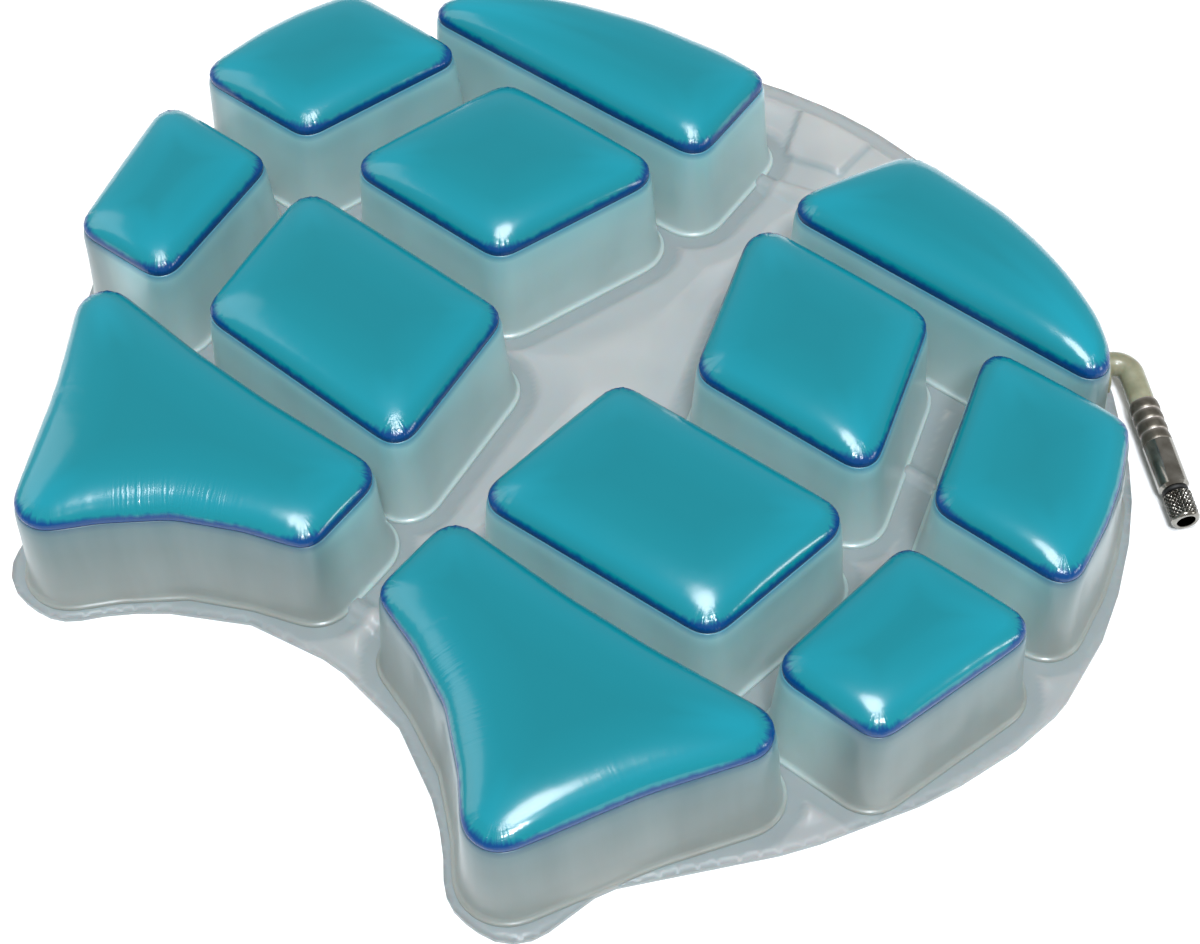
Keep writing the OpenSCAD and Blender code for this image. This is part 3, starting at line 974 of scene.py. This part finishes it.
# Painted highlight: the ridges are tinted a lighter cyan.
gel = tinted(pad_finish, ranged(pad_finish, ridge, 0.1, 0.6, 0.0, 0.3), gel, "#10a0b8")
feed(pad_finish, tinted(pad_finish, band, gel, "#003f78"), shader, "Base Color")
feed(pad_finish, ranged(pad_finish, band, 0.0, 1.0, 0.5, 0.1), shader, "Coat Weight")

# Fine folds stand out at the corners and, further up, where the weld curves inwards
at_corner = worked_out(pad_finish, "MULTIPLY", ranged(pad_finish, gap, 0.0005, 0.009, 1.0, 0.0),
                       turn)
at_hollow = worked_out(pad_finish, "MULTIPLY", ranged(pad_finish, gap, 0.004, 0.02, 1.0, 0.0),
                       hollow)
fold_share = worked_out(pad_finish, "MAXIMUM", at_corner, at_hollow)
fold_height = worked_out(pad_finish, "MULTIPLY", fine_folds, fold_share)
fold_bump = bumped(pad_finish, fold_height, 0.4, 0.0005)
dimples = noise(pad_finish, where, 70.0, 2.0)
skin_bump = add_node(pad_finish, "ShaderNodeBump", {"Height": dimples, "Normal": fold_bump},
                     {"Strength": 0.25, "Distance": 0.0006}).outputs[0]
feed(pad_finish, skin_bump, shader, "Normal")
feed(pad_finish, skin_bump, shader, "Coat Normal")
print("pad finish:", len(pad_finish.node_tree.nodes), "nodes")

# %% [markdown]
# ## Cell and flange films: vacuum-formed milky PVC
# The films are soft PVC with a little milkiness, formed hot over a mould, so they are satin
# and let light through: a faint painted glow stands for the light that passes through them
# and lifts their shade. Near the pads the walls are painted with the gel's coloured light,
# and they fade to a warm pale grey at the foot. Walls near the cushion's outside are painted
# darker, as painted shade; on the flange the same share gives the weld track and the patch's
# edge a greyer tone. Drawing the film leaves it faintly streaked from top to bottom.

# %% Film finishes
def film_finish(name, low_colour, tones, shade_and_weld_tones, roughness, gloss, streaks):
    """A milky film toned by height and by a stored share (painted shade on outer cell walls, the
    weld's tone on the flange), with faint streaks.
    """
    # Painted glow: a faint emission lifts the film's shade, standing for light that passes through
    # it.
    material, shader = finish_of(name, low_colour, Roughness=roughness, IOR=1.5,
                                 Coat_Weight=gloss, Coat_Roughness=0.2, Coat_IOR=1.5,
                                 Subsurface_Weight=0.3, Subsurface_Scale=0.006,
                                 Emission_Color=linear("#9cc0c2"), Emission_Strength=0.07)
    where = object_place(material)
    height = add_node(material, "ShaderNodeSeparateXYZ", {"Vector": where}).outputs["Z"]
    share = ranged(material, height, FOOT_Z, rim_z)
    # The stored share mixes in the second ramp: painted shade on cell walls near the outside, the
    # weld's own tone on the flange.
    both = add_node(material, "ShaderNodeMix",
                    {0: stored(material, "outer"), 6: toned(material, share, tones),
                     7: toned(material, share, shade_and_weld_tones)}, data_type="RGBA").outputs[2]
    stretched = add_node(material, "ShaderNodeMapping", {"Vector": where},
                         {"Scale": streaks}).outputs[0]
    streak = noise(material, stretched, 60.0, 3.0)
    streaked = tinted(material, ranged(material, streak, 0.3, 0.7, 0.0, 0.18), both, "#96a3a1")
    feed(material, streaked, shader, "Base Color")
    feed(material, bumped(material, streak, 0.5, 0.0008), shader, "Normal")
    return material


# Painted light: the height ramp turns teal towards the top for the gel's light, and the second ramp
# is painted shade for walls near the outside.
cell_finish = film_finish(
    "vacuum_formed_milky_pvc", "#b4bab5",
    ((0.0, "#a6b2b0"), (0.3, "#a0b8b7"), (0.65, "#98bbbc"), (0.93, "#84b8bd"), (0.985, "#2f7f98")),
    ((0.0, "#7f817c"), (0.25, "#69716e"), (0.65, "#4c6060"), (0.93, "#395c62"), (0.985, "#164a60")),
    roughness=0.38, gloss=0.45, streaks=(1.0, 1.0, 0.15))
flange_finish = film_finish(
    "welded_milky_pvc", "#c4c4c8",
    ((0.0, "#929495"), (0.06, "#9d9fa0"), (0.2, "#a7a6a4"), (1.0, "#aba9a6")),
    ((0.0, "#7f8688"), (0.06, "#868d8f"), (0.2, "#8f9597"), (1.0, "#8f9597")),
    roughness=0.5, gloss=0.2, streaks=(0.5, 0.5, 0.5))
print("films:", cell_finish.name, flange_finish.name)

# %% [markdown]
# ## Soft vinyl, nickel plate, dull brass and rubber
# The elbow is moulded soft vinyl that has yellowed a little. The valve is turned brass with
# bright nickel plate: smooth and faintly marked round its axis by the tool, with painted shade
# in the knurl's grooves and in the port. The ferrule is dull brass, with a painted highlight
# on the steps between its rings. The seal ring is moulded black rubber with a dull bloom.

# %% Valve finishes
vinyl_finish, shader = finish_of("moulded_soft_vinyl", "#b3b58f", Roughness=0.33, IOR=1.53,
                                 Coat_Weight=0.3, Coat_Roughness=0.15,
                                 Subsurface_Weight=0.3, Subsurface_Scale=0.002)
mottle = noise(vinyl_finish, object_place(vinyl_finish), 220.0, 3.0)
tone = toned(vinyl_finish, mottle, ((0.3, "#7f7e67"), (0.5, "#8c8b72"), (0.75, "#9c9b84")))
feed(vinyl_finish, tone, shader, "Base Color")
feed(vinyl_finish, bumped(vinyl_finish, mottle, 0.2, 0.0003), shader, "Normal")

nickel_finish, shader = finish_of("nickel_plated_turned_brass", "#c9c8c4", Roughness=0.2,
                                  Metallic=1.0)
where = object_place(nickel_finish)
marks = noise(nickel_finish, where, 900.0, 2.0)
wear = noise(nickel_finish, where, 160.0, 4.0)
tone = toned(nickel_finish, wear, ((0.3, "#77726a"), (0.55, "#9c9992"), (0.8, "#b6b4ae")))
# Painted shade: the knurl's grooves and the port are tinted dark.
groove_shade = worked_out(nickel_finish, "MULTIPLY", stored(nickel_finish, "groove"), 0.85)
feed(nickel_finish, tinted(nickel_finish, groove_shade, tone, "#1d1a16"), shader, "Base Color")
feed(nickel_finish, ranged(nickel_finish, wear, 0.0, 1.0, 0.08, 0.26), shader, "Roughness")
feed(nickel_finish, bumped(nickel_finish, marks, 0.15, 0.0001), shader, "Normal")

dull_finish, shader = finish_of("crimped_dull_brass", "#6d675d", Metallic=0.8, Roughness=0.42)
tarnish = noise(dull_finish, object_place(dull_finish), 380.0, 3.0)
tone = toned(dull_finish, tarnish, ((0.3, "#5a544b"), (0.55, "#6f6a60"), (0.8, "#857f76")))
# Painted highlight: the steps between the crimped rings are tinted pale.
step_highlight = tinted(dull_finish, stored(dull_finish, "groove"), tone, "#b9b1aa")
feed(dull_finish, step_highlight, shader, "Base Color")
feed(dull_finish, bumped(dull_finish, tarnish, 0.2, 0.0002), shader, "Normal")

rubber_finish, shader = finish_of("moulded_black_rubber", "#141414", Roughness=0.6, IOR=1.52)
bloom = noise(rubber_finish, object_place(rubber_finish), 700.0, 3.0)
tone = toned(rubber_finish, bloom, ((0.3, "#0e0e0e"), (0.7, "#222222")))
feed(rubber_finish, tone, shader, "Base Color")
print("valve finishes ready")

# %% [markdown]
# ## Putting finishes on
# Each new piece gets its finish, the body that it rides on and the nodes that it stands for.
# The nodes that stay only get a finish.

# %% Putting finishes on
CREASE_ANGLE = math.radians(35)

for (cell, side), piece in pads.items():
    finished(piece, pad_finish, "gel", "root", f"{cell}_skin_{side}", f"{cell}_gel_{side}")
for (cell, side), piece in films.items():
    finished(piece, cell_finish, "cell_film", "root", f"{cell}_cell_{side}")
finished(flange, flange_finish, "flange_film", "root", "flange_sheet")
finished(collar, nickel_finish, "plated_brass", "collar", "valve_collar")
finished(ferrule, dull_finish, "plated_brass", "root", "hose_ferrule")
for piece in (collar, ferrule):
    pick(piece)
    bpy.ops.object.shade_smooth_by_angle(angle=CREASE_ANGLE)

NODE_FINISHES = {
    "bottom_sheet": flange_finish, "inlet_gland": vinyl_finish, "inlet_elbow": vinyl_finish,
    "valve_barrel": nickel_finish, "valve_stem": nickel_finish, "stem_clip": nickel_finish,
    "seal_ring": rubber_finish, "stem_seal": rubber_finish}
for name, material in NODE_FINISHES.items():
    node = nodes[name]
    node.data.materials.clear()
    node.data.materials.append(material)
print("nodes that stay:", ", ".join(NODE_FINISHES))

# %% [markdown]
# ## Floor and light
# A pale floor and a pale room keep the films light. The two main lights are sun lamps, because
# those light the whole floor alike, and their wide discs soften the shadows. The lower one puts
# a small glint on each pad's near corner, and the higher one a broad glint on the ridge behind
# it. Two rectangular lamps fill in from the right and from the far side.

# %% Floor and light
FLOOR_SIZE = 30
SUN_DISTANCE = 3
deselect_all()
bpy.ops.mesh.primitive_plane_add(size=FLOOR_SIZE)
floor = bpy.context.object
floor.name = "floor"
floor_finish, shader = finish_of("pale_paper", "#f8f8f8", Roughness=0.9)
floor.data.materials.append(floor_finish)

bpy.context.scene.view_settings.view_transform = "Standard"
world = bpy.context.scene.world or bpy.data.worlds.new("room")
bpy.context.scene.world = world
world.use_nodes = True
room = world.node_tree.nodes["Background"]
room.inputs["Color"].default_value = linear("#f7f6f2")
room.inputs["Strength"].default_value = 0.4


def hung(lamp, azimuth, elevation, distance):
    """Hangs a lamp so that it faces the cushion, from an angle round it and one above it."""
    holder = bpy.data.objects.new(lamp.name, lamp)
    round_angle, up_angle = math.radians(azimuth), math.radians(elevation)
    way = direction(round_angle, up_angle)
    facing = way.to_track_quat("Z", "Y").to_matrix().to_4x4()
    holder.matrix_world = Matrix.Translation(way * distance) @ facing
    bpy.context.scene.collection.objects.link(holder)


def soft_light(name, azimuth, elevation, distance, width, height, power):
    """A rectangular light with soft edges to its shadows."""
    lamp = bpy.data.lights.new(name, "AREA")
    lamp.shape = "RECTANGLE"
    lamp.size, lamp.size_y, lamp.energy = width, height, power
    hung(lamp, azimuth, elevation, distance)


def sun_light(name, azimuth, elevation, angle, strength, colour):
    """A sun lamp with a wide disc; the angle is how wide the disc looks."""
    lamp = bpy.data.lights.new(name, "SUN")
    lamp.energy, lamp.angle, lamp.color = strength, math.radians(angle), linear(colour)[:3]
    hung(lamp, azimuth, elevation, SUN_DISTANCE)


sun_light("near_side", 46, 60, 8, 1.7, "#f0f7ff")
sun_light("overhead", 38, 80, 22, 1.95, "#f8fbff")
soft_light("right_side", 108, 20, 1.3, 0.3, 0.2, 2.2)
soft_light("far_side", 285, 35, 1.6, 0.9, 0.9, 4)
